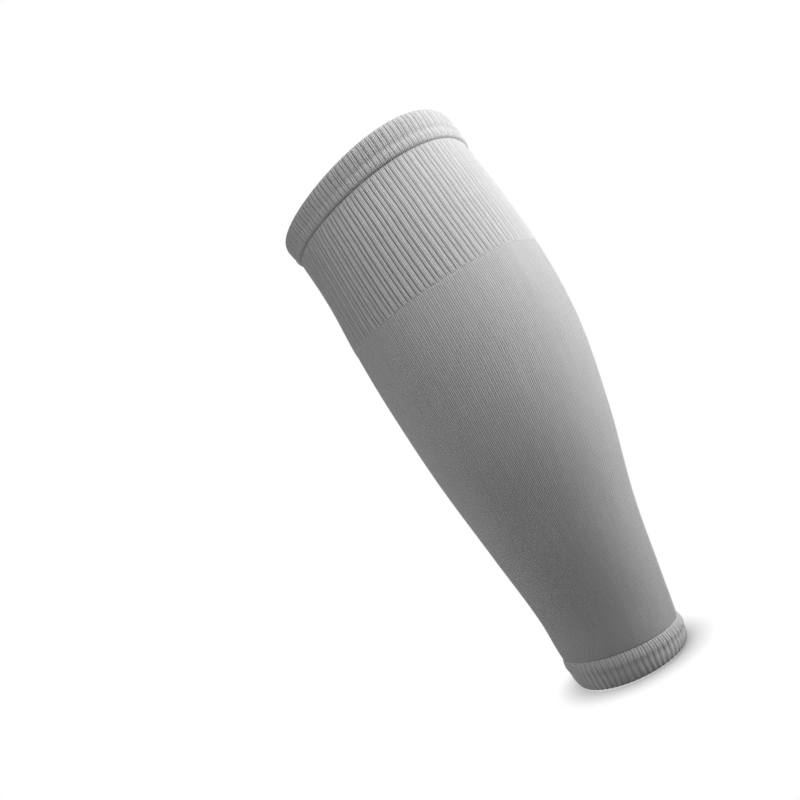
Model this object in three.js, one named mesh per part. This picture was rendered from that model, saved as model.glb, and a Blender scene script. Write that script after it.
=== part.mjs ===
// Football leg sleeve: a footless knitted sleeve that covers the lower leg from under the knee to above
// the ankle, in the form it takes when worn. It is one tube with four zones: a turned welt at the knee,
// a ribbed cuff under it, a long plain calf tube and a thick ribbed ankle cuff.
//
// Frame: millimetres, +Z up the leg to the knee, +X to the calf, -X to the shin. The origin lies on the
// leg's centreline, where the calf is thickest.
import * as THREE from 'three';
import { ParametricGeometry } from 'three/addons/geometries/ParametricGeometry.js';

// Levels along the leg, measured up from the thickest part of the calf
const KNEE_RIM = 91;
const WELT_SEAM = 76;
const RIB_END = 10;
const ANKLE_SEAM = -192.5;
const ANKLE_RIM = -206.3;
const PIECE_GAP = 0.3;

// Walls, measured out from the leg. A ribbed zone has its groove wall, and its ribs stand up from that
const PLAIN_WALL = 1.4;
const CUFF_GROOVE_WALL = 1.2;
const CUFF_RIB_HEIGHT = 1.0;
const WELT_WALL = 2.8;
const WELT_RIB_HEIGHT = 0.4;
const ANKLE_WALL = 3.0;
const ANKLE_RIB_HEIGHT = 0.5;

// Lengths along the leg over which the walls swell, fold and fade
const WELT_TUCK = 3;
const WELT_FOLD = 4;
const RIB_FADE = 4;
const RIB_TUCK = 5;
const ANKLE_SHOULDER = 3;
const ANKLE_ROLL = 4;
const EDGE_ROUND = 1;

// Knitting and facets round the tube
const RIB_REPEATS = 64;
const PLAIN_COLUMNS = 60;
const PLAIN_ROWS = 8;

// The leg in the sleeve, as sections across it. height is the level of a section's centre, calfward its
// shift towards the calf, depth half its size from shin to calf and width half its size from side to side.
// taper is the share of the width that the shin's half gives to the calf's, and lean the drop of the section
// for each millimetre towards the calf
const LEG_SECTIONS = [
  { height: -214, calfward: -11.0, depth: 26.6, width: 30.0, taper: 0.03, lean: -0.04 },
  { height: -191, calfward: -10.7, depth: 30.8, width: 31.0, taper: 0.03, lean: 0.08 },
  { height: -170, calfward: -9.0, depth: 33.2, width: 32.0, taper: 0.04, lean: 0.06 },
  { height: -130, calfward: -7.9, depth: 39.8, width: 38.0, taper: 0.05, lean: 0.065 },
  { height: -80, calfward: -4.6, depth: 50.0, width: 47.5, taper: 0.05, lean: 0.07 },
  { height: -30, calfward: -1.4, depth: 57.0, width: 52.0, taper: 0.06, lean: 0.035 },
  { height: 12, calfward: -1.3, depth: 58.5, width: 52.0, taper: 0.07, lean: -0.05 },
  { height: 50, calfward: -3.2, depth: 56.8, width: 53.0, taper: 0.14, lean: -0.085 },
  { height: 76, calfward: -6.1, depth: 56.2, width: 52.5, taper: 0.24, lean: -0.055 },
  { height: 94, calfward: -8.8, depth: 56.4, width: 59.0, taper: 0.25, lean: -0.095 },
];

// One repeat of each rib: its corners round the tube, as shares of a repeat, and their lift, as shares
// of the rib's height
const WIDE_AND_NARROW_RIB = [
  { place: 0.0, lift: 0.0 },
  { place: 0.12, lift: 1.0 },
  { place: 0.5, lift: 1.0 },
  { place: 0.62, lift: 0.0 },
  { place: 0.81, lift: 0.8 },
];
const FLAT_RIB = [
  { place: 0.0, lift: 0.0 },
  { place: 0.2, lift: 1.0 },
  { place: 0.75, lift: 1.0 },
];
const ROUND_RIB = [
  { place: 0.0, lift: 0.0 },
  { place: 0.35, lift: 1.0 },
  { place: 0.65, lift: 1.0 },
];
const NO_RIB = Array.from({ length: PLAIN_COLUMNS }, (_, column) => ({
  place: column / PLAIN_COLUMNS,
  lift: 0.0,
}));

// Wall profiles, each a closed loop up the outside and down the inside. level is the place along the leg,
// wall the distance out from the leg, and rib the height of the ribs there
const TOP_WELT_PROFILE = [
  { level: WELT_SEAM, wall: 0.7 * WELT_WALL, rib: 0.5 * WELT_RIB_HEIGHT },
  { level: WELT_SEAM + WELT_TUCK, wall: WELT_WALL, rib: WELT_RIB_HEIGHT },
  { level: KNEE_RIM - WELT_FOLD, wall: WELT_WALL, rib: WELT_RIB_HEIGHT },
  { level: KNEE_RIM - EDGE_ROUND, wall: 0.85 * WELT_WALL, rib: 0.5 * WELT_RIB_HEIGHT },
  { level: KNEE_RIM, wall: 0.5 * WELT_WALL, rib: 0 },
  { level: KNEE_RIM - EDGE_ROUND, wall: 0.15 * WELT_WALL, rib: 0 },
  { level: WELT_SEAM, wall: 0, rib: 0 },
];
const RIB_CUFF_PROFILE = [
  { level: RIB_END + PIECE_GAP, wall: CUFF_GROOVE_WALL, rib: 0.6 * CUFF_RIB_HEIGHT },
  { level: RIB_END + RIB_FADE, wall: CUFF_GROOVE_WALL, rib: CUFF_RIB_HEIGHT },
  { level: WELT_SEAM - RIB_TUCK, wall: CUFF_GROOVE_WALL, rib: CUFF_RIB_HEIGHT },
  { level: WELT_SEAM - PIECE_GAP, wall: CUFF_GROOVE_WALL, rib: 0.3 * CUFF_RIB_HEIGHT },
  { level: WELT_SEAM - PIECE_GAP, wall: 0, rib: 0 },
  { level: RIB_END + PIECE_GAP, wall: 0, rib: 0 },
];
const ANKLE_CUFF_PROFILE = [
  { level: ANKLE_RIM, wall: 0.5 * ANKLE_WALL, rib: 0 },
  { level: ANKLE_RIM + EDGE_ROUND, wall: 0.75 * ANKLE_WALL, rib: ANKLE_RIB_HEIGHT },
  { level: ANKLE_RIM + ANKLE_ROLL, wall: ANKLE_WALL, rib: ANKLE_RIB_HEIGHT },
  { level: (ANKLE_RIM + ANKLE_ROLL + ANKLE_SEAM) / 2, wall: 0.9 * ANKLE_WALL, rib: ANKLE_RIB_HEIGHT },
  { level: ANKLE_SEAM - ANKLE_SHOULDER, wall: ANKLE_WALL, rib: ANKLE_RIB_HEIGHT },
  { level: ANKLE_SEAM - PIECE_GAP, wall: 0.5 * ANKLE_WALL, rib: 0 },
  { level: ANKLE_SEAM - PIECE_GAP, wall: 0, rib: 0 },
  { level: ANKLE_RIM + EDGE_ROUND, wall: 0.15 * ANKLE_WALL, rib: 0 },
];
const CALF_TUBE_PROFILE = plainTubeProfile(ANKLE_SEAM, RIB_END, PLAIN_WALL, PLAIN_ROWS);

// A plain wall between two levels, in even rows
function plainTubeProfile(low, high, wall, rows) {
  const levels = Array.from({ length: rows + 1 }, (_, row) => low + ((high - low) * row) / rows);
  const outside = levels.map((level) => ({ level, wall, rib: 0 }));
  const inside = levels.toReversed().map((level) => ({ level, wall: 0, rib: 0 }));
  return [...outside, ...inside];
}

// Smooth sizes of the leg at any level, from the rows of the table
const legSizes = new THREE.CubicInterpolant(
  LEG_SECTIONS.map((section) => section.height),
  LEG_SECTIONS.flatMap(({ calfward, depth, width, taper, lean }) => [calfward, depth, width, taper, lean]),
  5,
);

function legSection(level) {
  const [calfward, depth, width, taper, lean] = legSizes.evaluate(level);
  return { calfward, depth, width, taper, lean };
}

// A point round the sleeve: angle 0 is the middle of the calf, and wall the distance out from the leg
function pointOnSleeve(level, angle, wall, point) {
  const { calfward, depth, width, taper, lean } = legSection(level);
  const sideways = (width + wall) * Math.sin(angle) * (1 + taper * Math.cos(angle));
  const acrossSection = new THREE.Vector3(1, 0, -lean).normalize();
  point.copy(acrossSection).multiplyScalar((depth + wall) * Math.cos(angle));
  point.add(new THREE.Vector3(calfward, sideways, level));
}

// One zone of the sleeve: a wall profile carried right round the leg, with its ribs
function knitZone(profile, ribShape, repeats) {
  const columns = ribShape.length * repeats;
  const rows = profile.length;
  const layPoint = (around, along, point) => {
    const column = Math.round(around * columns) % columns;
    const row = Math.round(along * rows) % rows;
    const { place, lift } = ribShape[column % ribShape.length];
    const { level, wall, rib } = profile[row];
    const angle = (2 * Math.PI * (Math.floor(column / ribShape.length) + place)) / repeats;
    pointOnSleeve(level, angle, wall + rib * lift, point);
  };
  return new ParametricGeometry(layPoint, columns, rows);
}

function knitPiece(name, geometry, colour) {
  const material = new THREE.MeshStandardMaterial({ color: colour, roughness: 0.9, metalness: 0 });
  const mesh = new THREE.Mesh(geometry, material);
  mesh.name = name;
  return mesh;
}

const sleeve = new THREE.Group();
sleeve.add(
  knitPiece('top_welt', knitZone(TOP_WELT_PROFILE, FLAT_RIB, RIB_REPEATS), 0xa9a9a9),
  knitPiece('rib_cuff', knitZone(RIB_CUFF_PROFILE, WIDE_AND_NARROW_RIB, RIB_REPEATS), 0xa6a6a6),
  knitPiece('calf_tube', knitZone(CALF_TUBE_PROFILE, NO_RIB, 1), 0xa3a3a3),
  knitPiece('ankle_cuff', knitZone(ANKLE_CUFF_PROFILE, ROUND_RIB, RIB_REPEATS), 0xa9a9a9),
);

export default sleeve;
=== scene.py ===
"""Football leg sleeve: the knitted surface of each zone of the sleeve, its yarn and a plain white stage."""
import math
from typing import NamedTuple

import bpy
import numpy as np
from bpy.props import FloatProperty, FloatVectorProperty, IntProperty, PointerProperty
from mathutils import Matrix, Vector


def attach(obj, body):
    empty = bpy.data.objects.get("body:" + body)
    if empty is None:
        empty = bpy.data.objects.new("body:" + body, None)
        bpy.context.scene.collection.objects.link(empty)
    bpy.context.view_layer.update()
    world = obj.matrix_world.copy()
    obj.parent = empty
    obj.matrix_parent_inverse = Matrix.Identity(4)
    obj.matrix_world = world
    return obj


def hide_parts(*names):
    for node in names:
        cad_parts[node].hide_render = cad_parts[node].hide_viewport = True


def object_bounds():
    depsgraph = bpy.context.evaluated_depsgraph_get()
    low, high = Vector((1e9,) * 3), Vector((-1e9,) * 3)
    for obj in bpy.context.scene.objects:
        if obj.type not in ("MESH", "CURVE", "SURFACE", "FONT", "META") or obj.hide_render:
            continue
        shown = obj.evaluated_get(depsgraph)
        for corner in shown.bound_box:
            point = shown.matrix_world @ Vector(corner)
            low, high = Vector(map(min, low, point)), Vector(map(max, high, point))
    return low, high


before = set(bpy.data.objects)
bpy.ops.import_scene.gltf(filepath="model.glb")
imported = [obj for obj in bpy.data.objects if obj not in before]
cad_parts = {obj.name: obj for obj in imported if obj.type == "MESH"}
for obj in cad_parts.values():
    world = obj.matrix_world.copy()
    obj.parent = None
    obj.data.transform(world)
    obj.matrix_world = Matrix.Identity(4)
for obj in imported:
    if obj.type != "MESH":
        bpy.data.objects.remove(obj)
CAD_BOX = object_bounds()

bl_info = {
    "name": "Football Leg Sleeve",
    "version": (1, 0, 0),
    "blender": (4, 5, 0),
    "location": "View3D > Sidebar > Leg Sleeve",
    "description": "Knits a footless football leg sleeve in its worn form and sets it on a white stage",
    "category": "Add Mesh",
}

MM = 0.001
BODY = "root"
KNIT_MAP = "KnitMap"
INSIDE = "inside"
# How much painted shade each point gets in the ribs' grooves and the seam's tuck, kept as a mesh attribute
PAINTED_SHADE_MASK = "groove"


# The leg in the sleeve, in millimetres


class LegSection(NamedTuple):
    """A section across the leg, as in the part's source. lean is its drop towards the calf."""

    height: float
    calfward: float
    depth: float
    width: float
    taper: float
    lean: float


LEG_SECTIONS = (
    LegSection(height=-214, calfward=-11.0, depth=26.6, width=30.0, taper=0.03, lean=-0.04),
    LegSection(height=-191, calfward=-10.7, depth=30.8, width=31.0, taper=0.03, lean=0.08),
    LegSection(height=-170, calfward=-9.0, depth=33.2, width=32.0, taper=0.04, lean=0.06),
    LegSection(height=-130, calfward=-7.9, depth=39.8, width=38.0, taper=0.05, lean=0.065),
    LegSection(height=-80, calfward=-4.6, depth=50.0, width=47.5, taper=0.05, lean=0.07),
    LegSection(height=-30, calfward=-1.4, depth=57.0, width=52.0, taper=0.06, lean=0.035),
    LegSection(height=12, calfward=-1.3, depth=58.5, width=52.0, taper=0.07, lean=-0.05),
    LegSection(height=50, calfward=-3.2, depth=56.8, width=53.0, taper=0.14, lean=-0.085),
    LegSection(height=76, calfward=-6.1, depth=56.2, width=52.5, taper=0.24, lean=-0.055),
    LegSection(height=94, calfward=-8.8, depth=56.4, width=59.0, taper=0.25, lean=-0.095),
)

# Levels where the zones of the knit begin and end, and the crease round the ankle cuff
KNEE_RIM = 91.0
WELT_SEAM = 76.0
RIB_END = 10.0
ANKLE_SEAM = -192.5
ANKLE_RIM = -206.3
ANKLE_CREASE = ANKLE_RIM + 7.4


def smooth_between(places, values, at, overshoot=True):
    """A cubic through the rows of a table. Without overshoot it stays between neighbouring rows."""
    chords = np.diff(values) / np.diff(places)
    before, after = chords[:-1], chords[1:]
    inner = (before + after) / 2
    if not overshoot:
        same_way = before * after > 0
        total = np.where(same_way, before + after, 1.0)
        inner = np.where(same_way, 2 * before * after / total, 0.0)
    slopes = np.concatenate([chords[:1], inner, chords[-1:]])
    row = np.clip(np.searchsorted(places, at, side="right") - 1, 0, len(places) - 2)
    gap = places[row + 1] - places[row]
    share = (at - places[row]) / gap
    rest = 1 - share
    level = values[row] * rest**2 * (1 + 2 * share) + values[row + 1] * share**2 * (1 + 2 * rest)
    return level + gap * share * rest * (slopes[row] * rest - slopes[row + 1] * share)


def lay_on_leg(levels, angles, walls):
    """Points in metres round the leg. Angle 0 is the middle of the calf, and walls go outwards."""
    table = np.array(LEG_SECTIONS)
    calfward, depth, width, taper, lean = (
        smooth_between(table[:, 0], table[:, column], levels) for column in range(1, table.shape[1])
    )
    reach = (depth + walls) * np.cos(angles) / np.sqrt(1 + lean**2)
    sideways = (width + walls) * np.sin(angles) * (1 + taper * np.cos(angles))
    return np.stack([calfward + reach, sideways, levels - reach * lean], axis=-1) * MM


# Walls and ribs


class WallRow(NamedTuple):
    """A corner of a wall's profile: its level, distance out, share of the rib and mesh rows to the next."""

    level: float
    wall: float
    rib: float
    rows: int


# Each loop goes up the outside, over the upper edge and down the inside
TOP_WELT_WALL = (
    WallRow(level=WELT_SEAM, wall=1.15, rib=0.1, rows=3),
    WallRow(level=WELT_SEAM + 0.7, wall=2.2, rib=0.6, rows=3),
    WallRow(level=WELT_SEAM + 2.6, wall=2.75, rib=1.0, rows=3),
    WallRow(level=WELT_SEAM + 5.4, wall=2.35, rib=0.8, rows=3),
    WallRow(level=WELT_SEAM + 7.0, wall=2.8, rib=1.0, rows=4),
    WallRow(level=KNEE_RIM - 4.0, wall=2.85, rib=1.0, rows=4),
    WallRow(level=KNEE_RIM - 1.0, wall=2.3, rib=0.8, rows=3),
    WallRow(level=KNEE_RIM, wall=1.4, rib=0.3, rows=3),
    WallRow(level=KNEE_RIM - 1.0, wall=0.3, rib=0.3, rows=3),
    WallRow(level=KNEE_RIM - 4.0, wall=0.0, rib=0.4, rows=5),
    WallRow(level=WELT_SEAM + 2.0, wall=0.0, rib=0.4, rows=2),
    WallRow(level=WELT_SEAM, wall=0.2, rib=0.0, rows=2),
)
TOP_WELT_FIRST_INSIDE = 8
RIB_CUFF_WALL = (
    WallRow(level=RIB_END, wall=1.3, rib=0.0, rows=2),
    WallRow(level=RIB_END + 0.5, wall=1.35, rib=0.35, rows=2),
    WallRow(level=RIB_END + 1.5, wall=1.35, rib=0.85, rows=3),
    WallRow(level=RIB_END + 5.0, wall=1.35, rib=1.0, rows=28),
    WallRow(level=WELT_SEAM - 5.0, wall=1.35, rib=1.0, rows=5),
    WallRow(level=WELT_SEAM - 2.0, wall=1.25, rib=0.8, rows=4),
    WallRow(level=WELT_SEAM - 0.4, wall=1.15, rib=0.3, rows=2),
    WallRow(level=WELT_SEAM, wall=0.75, rib=0.0, rows=2),
    WallRow(level=WELT_SEAM - 0.2, wall=0.0, rib=0.0, rows=2),
    WallRow(level=WELT_SEAM - 6.0, wall=0.0, rib=0.25, rows=16),
    WallRow(level=RIB_END + 5.0, wall=0.0, rib=0.25, rows=3),
    WallRow(level=RIB_END + 0.2, wall=0.0, rib=0.0, rows=2),
)
RIB_CUFF_FIRST_INSIDE = 8
CALF_TUBE_WALL = (
    WallRow(level=ANKLE_SEAM, wall=1.3, rib=0.8, rows=2),
    WallRow(level=ANKLE_SEAM + 2.0, wall=1.4, rib=1.0, rows=96),
    WallRow(level=RIB_END - 1.0, wall=1.4, rib=1.0, rows=2),
    WallRow(level=RIB_END, wall=1.3, rib=0.6, rows=1),
    WallRow(level=RIB_END, wall=0.1, rib=0.0, rows=1),
    WallRow(level=RIB_END - 1.0, wall=0.0, rib=0.0, rows=30),
    WallRow(level=ANKLE_SEAM + 1.0, wall=0.0, rib=0.0, rows=1),
    WallRow(level=ANKLE_SEAM, wall=0.1, rib=0.0, rows=1),
)
CALF_TUBE_FIRST_INSIDE = 4
ANKLE_CUFF_WALL = (
    WallRow(level=ANKLE_RIM, wall=1.0, rib=0.3, rows=3),
    WallRow(level=ANKLE_RIM + 0.3, wall=1.8, rib=0.8, rows=3),
    WallRow(level=ANKLE_RIM + 1.5, wall=2.5, rib=1.0, rows=5),
    WallRow(level=ANKLE_RIM + 4.5, wall=2.9, rib=1.0, rows=5),
    WallRow(level=ANKLE_CREASE, wall=2.75, rib=0.9, rows=4),
    WallRow(level=ANKLE_SEAM - 4.2, wall=3.0, rib=0.9, rows=4),
    WallRow(level=ANKLE_SEAM - 2.4, wall=2.5, rib=0.9, rows=4),
    WallRow(level=ANKLE_SEAM - 0.8, wall=1.75, rib=0.7, rows=4),
    WallRow(level=ANKLE_SEAM + 0.4, wall=1.2, rib=0.2, rows=2),
    WallRow(level=ANKLE_SEAM + 0.2, wall=0.4, rib=0.0, rows=2),
    WallRow(level=ANKLE_SEAM - 2.0, wall=0.0, rib=0.2, rows=6),
    WallRow(level=ANKLE_RIM + 3.0, wall=0.0, rib=0.2, rows=3),
    WallRow(level=ANKLE_RIM + 0.7, wall=0.3, rib=0.2, rows=2),
)
ANKLE_CUFF_FIRST_INSIDE = 9

# The gathers of the ankle cuff: its ribs sway and drift by shares of a repeat, lean by a share for each
# millimetre, and split in two over a length above the crease
ANKLE_SWAY = 0.08
ANKLE_SWAY_LENGTH = 2.2
ANKLE_SWAY_SHIFT = 1.5
ANKLE_SWAY_WAVES = 5
ANKLE_DRIFT = 0.06
ANKLE_DRIFT_WAVES = 9
ANKLE_LEAN = 0.02
ANKLE_SPLIT = 4.0
ANKLE_SHARPNESS = 1.6

# The share of the fine ribs in the gathers, at the crease and past the split
FINE_AT_CREASE = 0.25
FINE_PAST_SPLIT = 0.75

# Shares of the ankle cuff's wall: swollen on the calf, shrunk on the shin, and shrunk all round
ANKLE_CALF_SWELL = 0.1
ANKLE_SLIMMING = 0.05

# The seam under the welt: how far its tuck and the painted shade in it reach, and how far the calf fills it
# out
SEAM_REACH = 1.2
SEAM_FILL = 0.6

# The share of the upper bow that is left on the side of the leg, and how late the lower bow sets in
LEAST_UPPER_BOW = 0.15
LOWER_BOW_POWER = 1.5

# Where ribs begin and end, as shares of one repeat round the sleeve
WIDE_RIB = (0.06, 0.54)
NARROW_RIB = (0.66, 0.94)
FIRST_WELT_RIDGE = (0.61, 0.80)
SECOND_WELT_RIDGE = (0.77, 0.96)

# How flat the crowns of the ribs are: 2 is round, and more is flatter
WIDE_FLATNESS = 5.0
NARROW_FLATNESS = 2.5
WELT_BAND_FLATNESS = 6.0
WELT_RIDGE_FLATNESS = 2.0

# The wide rib and half the grooves beside it hold two of the three wales in a repeat
WIDE_SHARE = 0.6
WALES_IN_WIDE = 2
WALES_IN_REPEAT = 3
RIB_COLUMNS = 20
WALE_COLUMNS = 4
COURSES_PER_MM = 1.2


class WallGrid(NamedTuple):
    """A wall's profile opened out into mesh rows: one value a row."""

    levels: np.ndarray
    walls: np.ndarray
    ribs: np.ndarray
    lengths: np.ndarray
    inside: np.ndarray


def wall_grid(rows, first_inside):
    """Smooth mesh rows along a closed wall profile."""
    loop = rows + rows[:1]
    corners = np.array([(row.level, row.wall, row.rib) for row in loop])
    steps = np.hypot(np.diff(corners[:, 0]), np.diff(corners[:, 1]))
    places = np.concatenate([[0.0], np.cumsum(steps)])
    at = [
        np.linspace(places[index], places[index + 1], row.rows, endpoint=False)
        for index, row in enumerate(rows)
    ]
    lengths = np.concatenate(at)
    levels, walls, ribs = (
        smooth_between(places, corners[:, column], lengths, overshoot=False) for column in range(3)
    )
    inside = (lengths >= places[first_inside]).astype(float)
    return WallGrid(levels[:, None], walls[:, None], ribs[:, None], lengths[:, None], inside[:, None])


def rib_crown(place, ends, flatness):
    """The height across a rib with steep sides: 1 on its crown, 0 past its ends."""
    low, high = ends
    across = np.abs(2 * place - low - high) / (high - low)
    return np.sqrt(np.clip(1 - across**flatness, 0, None))


def cuff_ribs(place):
    """The crowns of a wide flat rib and of the narrow round one beside it."""
    return rib_crown(place, WIDE_RIB, WIDE_FLATNESS), rib_crown(place, NARROW_RIB, NARROW_FLATNESS)


def welt_ribs(place):
    """The crowns of a wide flat band and of the two fine ridges beside it."""
    first = rib_crown(place, FIRST_WELT_RIDGE, WELT_RIDGE_FLATNESS)
    second = rib_crown(place, SECOND_WELT_RIDGE, WELT_RIDGE_FLATNESS)
    return rib_crown(place, WIDE_RIB, WELT_BAND_FLATNESS), np.maximum(first, second)


def ankle_place(turns, levels, repeats):
    """The count of repeats round the gathered cuff, whose ribs sway and lean."""
    angles = 2 * np.pi * turns
    shift = ANKLE_SWAY_SHIFT * np.sin(ANKLE_SWAY_WAVES * angles)
    sway = ANKLE_SWAY * np.sin(levels / ANKLE_SWAY_LENGTH + shift)
    drift = ANKLE_DRIFT * np.sin(ANKLE_DRIFT_WAVES * angles)
    return turns * repeats + sway + drift - ANKLE_LEAN * (levels - ANKLE_CREASE)


def ankle_ribs(place, levels):
    """The height of the ankle's ribs: mostly one to a repeat under the crease and two above it."""
    upper = np.clip((levels - ANKLE_CREASE) / ANKLE_SPLIT, 0, 1)
    coarse = (0.5 - 0.5 * np.cos(2 * np.pi * place)) ** ANKLE_SHARPNESS
    fine = 0.5 - 0.5 * np.cos(4 * np.pi * place)
    fine_share = FINE_AT_CREASE + (FINE_PAST_SPLIT - FINE_AT_CREASE) * upper
    return coarse * (1 - fine_share) + fine * fine_share


def wale_at(turns, repeats):
    """The wale number at each place round the tube: two wales on a wide rib and one on a narrow one."""
    repeat = np.floor(turns * repeats + 1e-6)
    place = turns * repeats - repeat
    on_wide = WALES_IN_WIDE * place / WIDE_SHARE
    on_narrow = WALES_IN_WIDE + (place - WIDE_SHARE) / (1 - WIDE_SHARE)
    return WALES_IN_REPEAT * repeat + np.where(place < WIDE_SHARE, on_wide, on_narrow)


def knit_object(name, points, wales, lengths, inside, groove):
    """A closed ring of quads, with a map that counts wales round it and courses along its wall."""
    rows, columns = points.shape[:2]
    index = np.arange(rows * columns).reshape(rows, columns)
    next_row = np.roll(index, -1, axis=0)
    corners = [index, np.roll(index, -1, axis=1), np.roll(next_row, -1, axis=1), next_row]
    faces = np.stack(corners, axis=-1).reshape(-1, 4)
    mesh = bpy.data.meshes.new(name)
    mesh.from_pydata(points.reshape(-1, 3), [], faces)

    closed_wales = np.append(wales, wales[-1] + wales[1] - wales[0])
    wall_length = lengths[-1] + lengths[1] - lengths[0]
    courses = np.append(lengths, wall_length) * COURSES_PER_MM
    left, right = closed_wales[:-1], closed_wales[1:]
    low, high = courses[:-1, None], courses[1:, None]
    shape = (rows, columns)
    across = [np.broadcast_to(side, shape) for side in (left, right, right, left)]
    along = [np.broadcast_to(side, shape) for side in (low, low, high, high)]
    places = np.stack([np.stack(across, axis=-1), np.stack(along, axis=-1)], axis=-1)
    mesh.uv_layers.new(name=KNIT_MAP).data.foreach_set("uv", places.astype(np.float32).ravel())

    # Each point keeps whether it is on the inside, and its share of painted shade
    for label, values in ((INSIDE, inside), (PAINTED_SHADE_MASK, groove)):
        layer = mesh.attributes.new(label, "FLOAT", "POINT")
        layer.data.foreach_set("value", np.broadcast_to(values, shape).astype(np.float32).ravel())
    mesh.shade_smooth()
    piece = bpy.data.objects.new(name, mesh)
    bpy.context.scene.collection.objects.link(piece)
    return piece


def opened_out(levels, walls):
    """The greatest girth, the length and the area of a zone's cloth laid flat, in metres."""
    angles = np.linspace(0, 2 * np.pi, 181)[None, :]
    heights = np.linspace(min(levels), max(levels), 40)[:, None]
    rings = lay_on_leg(heights + 0 * angles, angles + 0 * heights, walls)
    girths = np.linalg.norm(np.diff(rings, axis=1), axis=2).sum(axis=1)
    length = (max(levels) - min(levels)) * MM
    return girths.max(), length, girths.mean() * length


def dress_piece(piece, node, material):
    """Ties a knitted piece to its body, gives it its cloth and hides the solid it stands for."""
    piece.data.materials.append(material)
    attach(piece, BODY)
    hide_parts(node)


# The yarn

# How the stitches lie, in wales and courses
LEG_SLANT = 1.3
LEG_ROUNDING = 0.15
PURL_ARC = 1.2

# The sizes of the yarn's unevenness, and its height against a stitch
HEATHER_SCALE = 900.0
CLOUD_SCALE = 28.0
STREAKS_PER_STITCH = (1.6, 0.02, 0.0)
FUZZ_HEIGHT = 0.06

# The finish of the yarn, and the tone of the welt and the ankle cuff against the ribbed cuff: painted light
# that makes the same yarn darker on the welt and lighter on the ankle cuff, to suit how the light falls
# there
YARN_SPECULAR = 0.2
SHEEN_ROUGHNESS = 0.45
WELT_PAINTED_BRIGHTNESS = 0.96
ANKLE_PAINTED_BRIGHTNESS = 1.05

# The sockets of a Mix node that hold its share, its two colours and what comes out
MIX_SHARE = 0
MIX_FIRST = 6
MIX_SECOND = 7
MIX_RESULT = 2


class Flow:
    """A shader socket. Sums and products on it become Math nodes in its tree."""

    def __init__(self, socket):
        self.socket = socket

    def node(self, kind, settings, inputs):
        """Adds a node of a kind to the tree, with its settings and the values or links of its sockets."""
        tree = self.socket.id_data
        made = tree.nodes.new(kind)
        for name, value in settings.items():
            setattr(made, name, value)
        for name, value in inputs.items():
            if isinstance(value, Flow):
                tree.links.new(value.socket, made.inputs[name])
            else:
                made.inputs[name].default_value = value
        return made

    def math(self, operation, *others):
        inputs = dict(enumerate((self, *others)))
        return Flow(self.node("ShaderNodeMath", {"operation": operation}, inputs).outputs[0])

    def __add__(self, other):
        return self.math("ADD", other)

    __radd__ = __add__

    def __mul__(self, other):
        return self.math("MULTIPLY", other)

    __rmul__ = __mul__

    def __sub__(self, other):
        return self.math("SUBTRACT", other)

    def __rsub__(self, other):
        return (self * -1) + other

    def __pow__(self, other):
        return self.math("POWER", other)

    def __abs__(self):
        return self.math("ABSOLUTE")

    def part(self):
        """What is left after the whole number."""
        return self.math("FRACT")

    def towards(self, other, share):
        """This value where share is 0 and the other where it is 1."""
        return self + (other - self) * share


def stitch_height(wale, course):
    """The outside of plain knit: two slanting legs to a wale, stacked into upright lines."""
    from_middle = abs(wale.part() - 0.5)
    crown = 1 - (abs(from_middle - 0.25) * 4) ** 2
    along = (course - from_middle * LEG_SLANT).part()
    rounded = 1 - (abs(along - 0.5) * 2) ** 3
    return crown * (rounded * LEG_ROUNDING + (1 - LEG_ROUNDING)), crown


def purl_height(wale, course):
    """The inside of plain knit: rows of short arcs."""
    arc = abs(wale.part() - 0.5) ** 2
    along = (course + arc * PURL_ARC).part()
    return 1 - (abs(along - 0.5) * 2) ** 2


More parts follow.
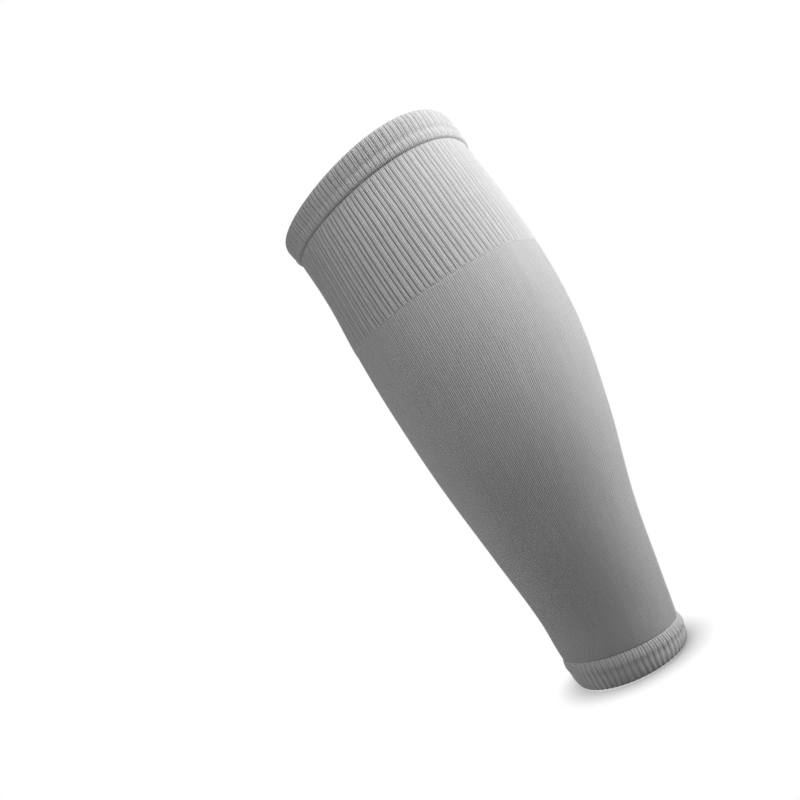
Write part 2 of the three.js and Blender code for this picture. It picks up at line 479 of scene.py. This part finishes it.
def knit_material(name, yarn, tone, painted_line_shade, stitch_depth, painted_groove_shade):
    """Matt knitted yarn: stitches from the knit map, painted shade in the lines between them and in the
    grooves, a faint heather, and a tone that paints the zone lighter or darker.
    """
    material = bpy.data.materials.new(name)
    material.use_nodes = True
    tree = material.node_tree
    shader = tree.nodes["Principled BSDF"]
    start = Flow(shader.inputs["Base Color"])

    knit_map = start.node("ShaderNodeUVMap", {"uv_map": KNIT_MAP}, {})
    split = start.node("ShaderNodeSeparateXYZ", {}, {"Vector": Flow(knit_map.outputs["UV"])})
    wale, course = Flow(split.outputs["X"]), Flow(split.outputs["Y"])
    inside = Flow(start.node("ShaderNodeAttribute", {"attribute_name": INSIDE}, {}).outputs["Fac"])
    groove = Flow(start.node("ShaderNodeAttribute", {"attribute_name": PAINTED_SHADE_MASK}, {}).outputs["Fac"])
    place = start.node("ShaderNodeTexCoord", {}, {}).outputs["Object"]

    stitch, crown = stitch_height(wale, course)
    purl = purl_height(wale, course)
    height = stitch.towards(purl, inside)

    def noise(vector, scale, detail):
        inputs = {"Vector": Flow(vector), "Scale": scale, "Detail": detail}
        return Flow(start.node("ShaderNodeTexNoise", {}, inputs).outputs["Fac"])

    along = start.node(
        "ShaderNodeVectorMath",
        {"operation": "MULTIPLY"},
        {0: Flow(knit_map.outputs["UV"]), 1: STREAKS_PER_STITCH},
    )
    heather = noise(place, HEATHER_SCALE, 2.0)
    cloud = noise(place, CLOUD_SCALE, 3.0)
    streak = noise(along.outputs[0], 1.0, 1.0)
    uneven = (heather - 0.5) * yarn.heather + (cloud - 0.5) * yarn.cloud + (streak - 0.5) * yarn.streak
    # Painted shade: the low lines between the legs of the stitches are darkened in the colour
    lines = (1 - crown) * painted_line_shade
    # Painted shade darkens the colour in the ribs' grooves and the seam's tuck
    shade = (uneven + 1) * (1 - lines) * (1 - groove * painted_groove_shade) * tone
    grey = start.node("ShaderNodeCombineColor", {}, {"Red": shade, "Green": shade, "Blue": shade})
    dyed = start.node(
        "ShaderNodeMix",
        {"data_type": "RGBA", "blend_type": "MULTIPLY"},
        {MIX_SHARE: 1.0, MIX_FIRST: (*yarn.colour, 1.0), MIX_SECOND: Flow(grey.outputs["Color"])},
    )
    tree.links.new(dyed.outputs[MIX_RESULT], shader.inputs["Base Color"])

    raised = height + heather * FUZZ_HEIGHT
    bump = start.node(
        "ShaderNodeBump", {}, {"Strength": 1.0, "Distance": stitch_depth * MM, "Height": raised}
    )
    tree.links.new(bump.outputs["Normal"], shader.inputs["Normal"])
    shader.inputs["Roughness"].default_value = yarn.roughness
    shader.inputs["Specular IOR Level"].default_value = YARN_SPECULAR
    shader.inputs["Sheen Weight"].default_value = yarn.sheen
    shader.inputs["Sheen Roughness"].default_value = SHEEN_ROUGHNESS
    return material


# Settings


class YarnSettings(bpy.types.PropertyGroup):
    """The yarn's colour and finish."""

    colour: FloatVectorProperty(
        name="Colour", description="Colour of the yarn", subtype="COLOR", size=3, min=0, max=1,
        default=(0.5, 0.5, 0.5),
    )
    heather: FloatProperty(
        name="Heather", description="Change of tone from yarn to yarn", default=0.1, min=0, max=1,
        subtype="FACTOR",
    )
    cloud: FloatProperty(
        name="Cloud", description="Slow change of tone over the cloth", default=0.08, min=0, max=1,
        subtype="FACTOR",
    )
    streak: FloatProperty(
        name="Streak", description="Change of tone from wale to wale", default=0.2, min=0, max=1,
        subtype="FACTOR",
    )
    # Painted light: the ribbed zones are the same yarn as the plain tube, painted brighter to suit how the
    # light falls on them and to make up for their painted groove shade
    rib_painted_brightness: FloatProperty(
        name="Rib tone", description="Brightness of the ribbed zones against the plain one",
        default=1.05, min=0,
    )
    roughness: FloatProperty(
        name="Roughness", description="Roughness of the yarn", default=0.88, min=0, max=1, subtype="FACTOR",
    )
    sheen: FloatProperty(
        name="Sheen", description="Soft light on the fibres at grazing angles", default=0.06, min=0, max=1,
        subtype="FACTOR",
    )


class KnitSettings(bpy.types.PropertyGroup):
    """Sizes of the knitting."""

    repeats: IntProperty(
        name="Rib repeats", description="Pairs of a wide and a narrow rib round the sleeve",
        default=64, min=12,
    )
    wales: IntProperty(
        name="Plain wales", description="Upright lines of stitches round the plain tube",
        default=176, min=36,
    )
    rib_height: FloatProperty(
        name="Rib height", description="Height of the wide ribs in the cuff under the knee", unit="LENGTH",
        default=0.5 * MM,
    )
    narrow_height: FloatProperty(
        name="Narrow ribs", description="Height of a narrow rib as a share of a wide one", default=0.9,
        subtype="FACTOR", min=0, max=1,
    )
    lower_bow: FloatProperty(
        name="Lower bow", description="Turn of the ribs round the leg at the lower end of the cuff",
        subtype="ANGLE", default=math.radians(1.8),
    )
    upper_bow: FloatProperty(
        name="Upper bow", description="Turn of the ribs at the upper end, most on the shin", subtype="ANGLE",
        default=math.radians(4.3),
    )
    calf_stretch: FloatProperty(
        name="Calf stretch", description="How far the stretch over the calf flattens the ribs", default=0.6,
        subtype="FACTOR", min=0, max=1,
    )
    welt_rib_height: FloatProperty(
        name="Welt rib height", description="Height of the flat ribs in the turned welt", unit="LENGTH",
        default=0.42 * MM,
    )
    ankle_rib_height: FloatProperty(
        name="Ankle rib height", description="Height of the ribs in the ankle cuff", unit="LENGTH",
        default=0.7 * MM,
    )
    wale_height: FloatProperty(
        name="Wale height", description="Height of the upright lines of the plain knit", unit="LENGTH",
        default=0.12 * MM,
    )


class StageSettings(bpy.types.PropertyGroup):
    """Light, floor and view."""

    calf_power: FloatProperty(
        name="Calf light", description="Power of the light on the calf", default=1.65, unit="POWER",
    )
    side_power: FloatProperty(
        name="Side light", description="Power of the raised light between calf and camera", default=0.6,
        unit="POWER",
    )
    cuff_power: FloatProperty(
        name="Cuff light", description="Power of the near light on the ribbed cuff", default=0.79,
        unit="POWER",
    )
    shin_power: FloatProperty(
        name="Shin light", description="Power of the low light behind the shin", default=1.15, unit="POWER",
    )
    ambient: FloatProperty(name="Room light", description="Even light from all round", default=0.204, min=0)
    shadow: FloatProperty(
        name="Floor shadow", description="Depth of the soft shadow round the sleeve's foot", default=0.9,
        min=0, max=1, subtype="FACTOR",
    )
    shadow_reach: FloatProperty(
        name="Shadow reach", description="How far the soft shadow spreads", default=14 * MM, unit="LENGTH",
    )
    lens: FloatProperty(
        name="Lens", description="Focal length on a 36 mm sensor, in millimetres", default=31.5, min=1,
    )
    distance: FloatProperty(
        name="Distance", description="From the camera to the point it looks at", default=395.6 * MM,
        unit="LENGTH",
    )
    pitch: FloatProperty(
        name="Pitch", description="How far the camera looks up", default=math.radians(7.96), subtype="ANGLE",
    )
    roll: FloatProperty(
        name="Roll", description="Tilt of the picture", default=math.radians(-28.97), subtype="ANGLE",
    )
    aim: FloatVectorProperty(
        name="Aim", description="The point that the camera looks at", size=3, subtype="TRANSLATION",
        default=(-51.9 * MM, 0.0, -25.4 * MM),
    )


class SleeveSettings(bpy.types.PropertyGroup):
    """All the settings of the sleeve."""

    yarn: PointerProperty(type=YarnSettings)
    knit: PointerProperty(type=KnitSettings)
    stage: PointerProperty(type=StageSettings)


def settings():
    return bpy.context.scene.leg_sleeve


# The pieces


def turns_round(columns):
    """Even places round the sleeve, as shares of a turn."""
    return np.arange(columns)[None, :] / columns


def bowed_angles(turns, levels, knit):
    """Angles round the leg for ribs that bow towards both ends of the cuff and run on up the welt."""
    angles = 2 * np.pi * turns
    middle = (RIB_END + WELT_SEAM) / 2
    share = (np.minimum(levels, WELT_SEAM) - middle) / (WELT_SEAM - middle)
    shinward = np.maximum(-np.cos(angles), 0)
    upper = knit.upper_bow * (LEAST_UPPER_BOW + shinward**2) * share**2
    lower = knit.lower_bow * np.abs(share) ** LOWER_BOW_POWER
    return angles + np.where(share > 0, upper, lower)


def stretched_ribs(grid, turns, crowns, knit):
    """The ribs' share of height, the painted shade in their grooves and in the seam's tuck, and what fills
    the welt's seam.

    The knit is pulled wide over the calf, so its ribs lie flatter there and its seam is filled out. The
    painted shade in the seam is darkest on the shin side and gone at the middle of the calf.
    """
    calfward = np.maximum(np.cos(2 * np.pi * turns), 0)
    ribs = grid.ribs * (1 - knit.calf_stretch * calfward)
    seam = (1 - grid.inside) * np.clip(1 - np.abs(grid.levels - WELT_SEAM) / SEAM_REACH, 0, 1)
    # Painted shade in the grooves, and in the seam's tuck, where it fades towards the calf
    shade = np.maximum(ribs * (1 - crowns**2), seam * (1 - calfward))
    return ribs, shade, seam * calfward * SEAM_FILL


def knit_ribs(name, wall_rows, first_inside, crowns, height):
    """Knits a zone at the knee: wide and narrow ribs up to a height, bowed and stretched with the leg."""
    knit = settings().knit
    grid = wall_grid(wall_rows, first_inside)
    turns = turns_round(knit.repeats * RIB_COLUMNS)
    wide, narrow = crowns((turns * knit.repeats) % 1)
    lift = np.maximum(wide, narrow * knit.narrow_height)
    ribs, shade, fill = stretched_ribs(grid, turns, np.maximum(wide, narrow), knit)
    walls = grid.walls + fill + ribs * lift * height / MM
    points = lay_on_leg(grid.levels + 0 * turns, bowed_angles(turns, grid.levels, knit), walls)
    wales = wale_at(turns[0], knit.repeats)
    return knit_object(name, points, wales, grid.lengths[:, 0], grid.inside, shade)


class SLEEVE_OT_top_welt(bpy.types.Operator):
    """Knits the turned welt at the knee"""

    bl_idname = "leg_sleeve.top_welt"
    bl_label = "Top welt"

    def execute(self, context):
        height = settings().knit.welt_rib_height
        piece = knit_ribs("top_welt_knit", TOP_WELT_WALL, TOP_WELT_FIRST_INSIDE, welt_ribs, height)
        yarn = settings().yarn
        tone = yarn.rib_painted_brightness * WELT_PAINTED_BRIGHTNESS
        material = knit_material(
            "Welt knit", yarn, tone, painted_line_shade=0.25, stitch_depth=0.2, painted_groove_shade=0.32
        )
        dress_piece(piece, "top_welt", material)
        girth, length, area = opened_out((WELT_SEAM, KNEE_RIM), walls=1.5)
        return {"FINISHED"}


class SLEEVE_OT_rib_cuff(bpy.types.Operator):
    """Knits the ribbed cuff under the knee"""

    bl_idname = "leg_sleeve.rib_cuff"
    bl_label = "Rib cuff"

    def execute(self, context):
        height = settings().knit.rib_height
        piece = knit_ribs("rib_cuff_knit", RIB_CUFF_WALL, RIB_CUFF_FIRST_INSIDE, cuff_ribs, height)
        yarn = settings().yarn
        material = knit_material(
            "Rib knit", yarn, yarn.rib_painted_brightness, painted_line_shade=0.25, stitch_depth=0.25, painted_groove_shade=0.29
        )
        dress_piece(piece, "rib_cuff", material)
        girth, length, area = opened_out((RIB_END, WELT_SEAM), walls=1.2)
        return {"FINISHED"}


class SLEEVE_OT_calf_tube(bpy.types.Operator):
    """Knits the plain tube over the calf"""

    bl_idname = "leg_sleeve.calf_tube"
    bl_label = "Calf tube"

    def execute(self, context):
        knit = settings().knit
        grid = wall_grid(CALF_TUBE_WALL, CALF_TUBE_FIRST_INSIDE)
        turns = turns_round(knit.wales * WALE_COLUMNS)
        lift = np.abs(np.sin(np.pi * knit.wales * turns))
        walls = grid.walls + grid.ribs * lift * knit.wale_height / MM
        points = lay_on_leg(grid.levels + 0 * turns, 2 * np.pi * turns, walls)
        wales = turns[0] * knit.wales
        # The plain tube has no grooves and gets no painted shade
        no_painted_shade = 0 * points[..., 0]
        piece = knit_object("calf_tube_knit", points, wales, grid.lengths[:, 0], grid.inside, no_painted_shade)
        material = knit_material(
            "Plain knit", settings().yarn, 1.0, painted_line_shade=0.65, stitch_depth=0.2, painted_groove_shade=0.0
        )
        dress_piece(piece, "calf_tube", material)
        girth, length, area = opened_out((ANKLE_SEAM, RIB_END), walls=0.7)
        return {"FINISHED"}


class SLEEVE_OT_ankle_cuff(bpy.types.Operator):
    """Knits the thick ribbed cuff at the ankle"""

    bl_idname = "leg_sleeve.ankle_cuff"
    bl_label = "Ankle cuff"

    def execute(self, context):
        knit = settings().knit
        grid = wall_grid(ANKLE_CUFF_WALL, ANKLE_CUFF_FIRST_INSIDE)
        turns = turns_round(knit.repeats * RIB_COLUMNS)
        angles = 2 * np.pi * turns
        lift = ankle_ribs(ankle_place(turns, grid.levels, knit.repeats), grid.levels)
        outside = 1 - grid.inside
        proud = 1 + outside * (ANKLE_CALF_SWELL * np.cos(angles) - ANKLE_SLIMMING)
        walls = grid.walls * proud + grid.ribs * lift * knit.ankle_rib_height / MM
        points = lay_on_leg(grid.levels + 0 * turns, angles, walls)
        wales = wale_at(turns[0], knit.repeats)
        # Painted shade in the ankle cuff's grooves, where its ribs are low
        shade = grid.ribs * (1 - lift)
        piece = knit_object("ankle_cuff_knit", points, wales, grid.lengths[:, 0], grid.inside, shade)
        yarn = settings().yarn
        tone = yarn.rib_painted_brightness * ANKLE_PAINTED_BRIGHTNESS
        material = knit_material(
            "Ankle knit", yarn, tone, painted_line_shade=0.2, stitch_depth=0.2, painted_groove_shade=0.15
        )
        dress_piece(piece, "ankle_cuff", material)
        girth, length, area = opened_out((ANKLE_RIM, ANKLE_SEAM), walls=1.5)
        return {"FINISHED"}


class StudioLight(NamedTuple):
    """A soft light on a level of the sleeve, in metres, and its turn from the calf and rise, in degrees."""

    name: str
    level: float
    turn: float
    rise: float
    distance: float
    power: str


STUDIO_LIGHTS = (
    StudioLight(name="calf light", level=-0.05, turn=4, rise=-6, distance=0.4, power="calf_power"),
    StudioLight(name="side light", level=-0.05, turn=-30, rise=30, distance=0.4, power="side_power"),
    StudioLight(name="cuff light", level=0.09, turn=-67, rise=20, distance=0.25, power="cuff_power"),
    StudioLight(name="shin light", level=-0.05, turn=162, rise=-20, distance=0.4, power="shin_power"),
)
LIGHT_SIZE = 0.3
FLOOR_HALF = 30.0
FLOOR_DROP = 0.5 * MM


def studio_light(light, power):
    """Hangs a square soft light that faces its level of the sleeve."""
    turn, rise = math.radians(light.turn), math.radians(light.rise)
    out = Vector((math.cos(rise) * math.cos(turn), math.cos(rise) * math.sin(turn), math.sin(rise)))
    lamp = bpy.data.lights.new(light.name, "AREA")
    lamp.size = LIGHT_SIZE
    lamp.energy = power
    holder = bpy.data.objects.new(light.name, lamp)
    holder.location = Vector((0, 0, light.level)) + out * light.distance
    holder.rotation_euler = (-out).to_track_quat("-Z", "Y").to_euler()
    holder.visible_camera = False
    bpy.context.scene.collection.objects.link(holder)


def white_room(ambient):
    """A room that is white to look at and gives a dimmer even light."""
    world = bpy.data.worlds.new("White room")
    bpy.context.scene.world = world
    world.use_nodes = True
    tree = world.node_tree
    seen = tree.nodes["Background"]
    seen.inputs["Color"].default_value = (1, 1, 1, 1)
    lit = tree.nodes.new("ShaderNodeBackground")
    lit.inputs["Color"].default_value = (1, 1, 1, 1)
    lit.inputs["Strength"].default_value = ambient
    rays = tree.nodes.new("ShaderNodeLightPath")
    mix = tree.nodes.new("ShaderNodeMixShader")
    tree.links.new(rays.outputs["Is Camera Ray"], mix.inputs["Fac"])
    tree.links.new(lit.outputs[0], mix.inputs[1])
    tree.links.new(seen.outputs[0], mix.inputs[2])
    tree.links.new(mix.outputs[0], tree.nodes["World Output"].inputs["Surface"])


def white_floor(level, shadow, reach):
    """A wide white floor that glows evenly, throws no light back and has a soft shadow painted into its glow
    close to what stands on it.
    """
    mesh = bpy.data.meshes.new("floor")
    corners = [(x * FLOOR_HALF, y * FLOOR_HALF, level) for x, y in ((-1, -1), (1, -1), (1, 1), (-1, 1))]
    mesh.from_pydata(corners, [], [(0, 1, 2, 3)])
    floor = bpy.data.objects.new("floor", mesh)
    bpy.context.scene.collection.objects.link(floor)
    material = bpy.data.materials.new("Floor white")
    material.use_nodes = True
    shader = material.node_tree.nodes["Principled BSDF"]
    start = Flow(shader.inputs["Emission Color"])
    # Painted shadow: the floor's glow is dimmed where the sleeve hides the open room close by
    open_sky = start.node("ShaderNodeAmbientOcclusion", {"samples": 16}, {"Distance": reach})
    bright = Flow(open_sky.outputs["AO"]) * shadow + (1 - shadow)
    white = start.node("ShaderNodeCombineColor", {}, {"Red": bright, "Green": bright, "Blue": bright})
    material.node_tree.links.new(white.outputs["Color"], shader.inputs["Emission Color"])
    shader.inputs["Base Color"].default_value = (0, 0, 0, 1)
    shader.inputs["Specular IOR Level"].default_value = 0.0
    shader.inputs["Emission Strength"].default_value = 1.0
    mesh.materials.append(material)
    floor.visible_diffuse = False
    floor.visible_glossy = False


def photo_camera(stage):
    """The camera at the photograph's angle, tilted so that the sleeve leans."""
    ahead = Vector((0, math.cos(stage.pitch), math.sin(stage.pitch)))
    level_up = Vector((0, -math.sin(stage.pitch), math.cos(stage.pitch)))
    side = Vector((1, 0, 0))
    right = math.cos(stage.roll) * side + math.sin(stage.roll) * level_up
    up = math.cos(stage.roll) * level_up - math.sin(stage.roll) * side
    lens = bpy.data.cameras.new("photo camera")
    lens.sensor_width = 36.0
    lens.lens = stage.lens
    lens.clip_start = 0.01
    lens.clip_end = 100.0
    camera = bpy.data.objects.new("photo camera", lens)
    turn = Matrix((right, up, -ahead)).transposed().to_4x4()
    camera.matrix_world = Matrix.Translation(Vector(stage.aim) - ahead * stage.distance) @ turn
    bpy.context.scene.collection.objects.link(camera)
    bpy.context.scene.camera = camera


class SLEEVE_OT_stage(bpy.types.Operator):
    """Sets the camera, the lights, the white room and the floor"""

    bl_idname = "leg_sleeve.stage"
    bl_label = "Stage"

    def execute(self, context):
        stage = settings().stage
        photo_camera(stage)
        white_room(stage.ambient)
        white_floor(CAD_BOX[0].z - FLOOR_DROP, stage.shadow, stage.shadow_reach)
        for light in STUDIO_LIGHTS:
            studio_light(light, getattr(stage, light.power))
        context.scene.view_settings.view_transform = "Standard"
        return {"FINISHED"}


OPERATORS = (
    SLEEVE_OT_top_welt,
    SLEEVE_OT_rib_cuff,
    SLEEVE_OT_calf_tube,
    SLEEVE_OT_ankle_cuff,
    SLEEVE_OT_stage,
)


class SLEEVE_PT_panel(bpy.types.Panel):
    """Lists the sleeve's pieces and settings"""

    bl_idname = "SLEEVE_PT_panel"
    bl_label = "Leg Sleeve"
    bl_space_type = "VIEW_3D"
    bl_region_type = "UI"
    bl_category = "Leg Sleeve"

    def draw(self, context):
        for operator in OPERATORS:
            self.layout.operator(operator.bl_idname)
        for group in (settings().yarn, settings().knit, settings().stage):
            box = self.layout.box()
            for name in group.__annotations__:
                box.prop(group, name)


CLASSES = (YarnSettings, KnitSettings, StageSettings, SleeveSettings, *OPERATORS, SLEEVE_PT_panel)


def register():
    for kind in CLASSES:
        bpy.utils.register_class(kind)
    bpy.types.Scene.leg_sleeve = PointerProperty(type=SleeveSettings)


def unregister():
    del bpy.types.Scene.leg_sleeve
    for kind in reversed(CLASSES):
        bpy.utils.unregister_class(kind)


def main():
    register()
    bpy.ops.leg_sleeve.top_welt()
    bpy.ops.leg_sleeve.rib_cuff()
    bpy.ops.leg_sleeve.calf_tube()
    bpy.ops.leg_sleeve.ankle_cuff()
    bpy.ops.leg_sleeve.stage()


if __name__ == "__main__":
    main()
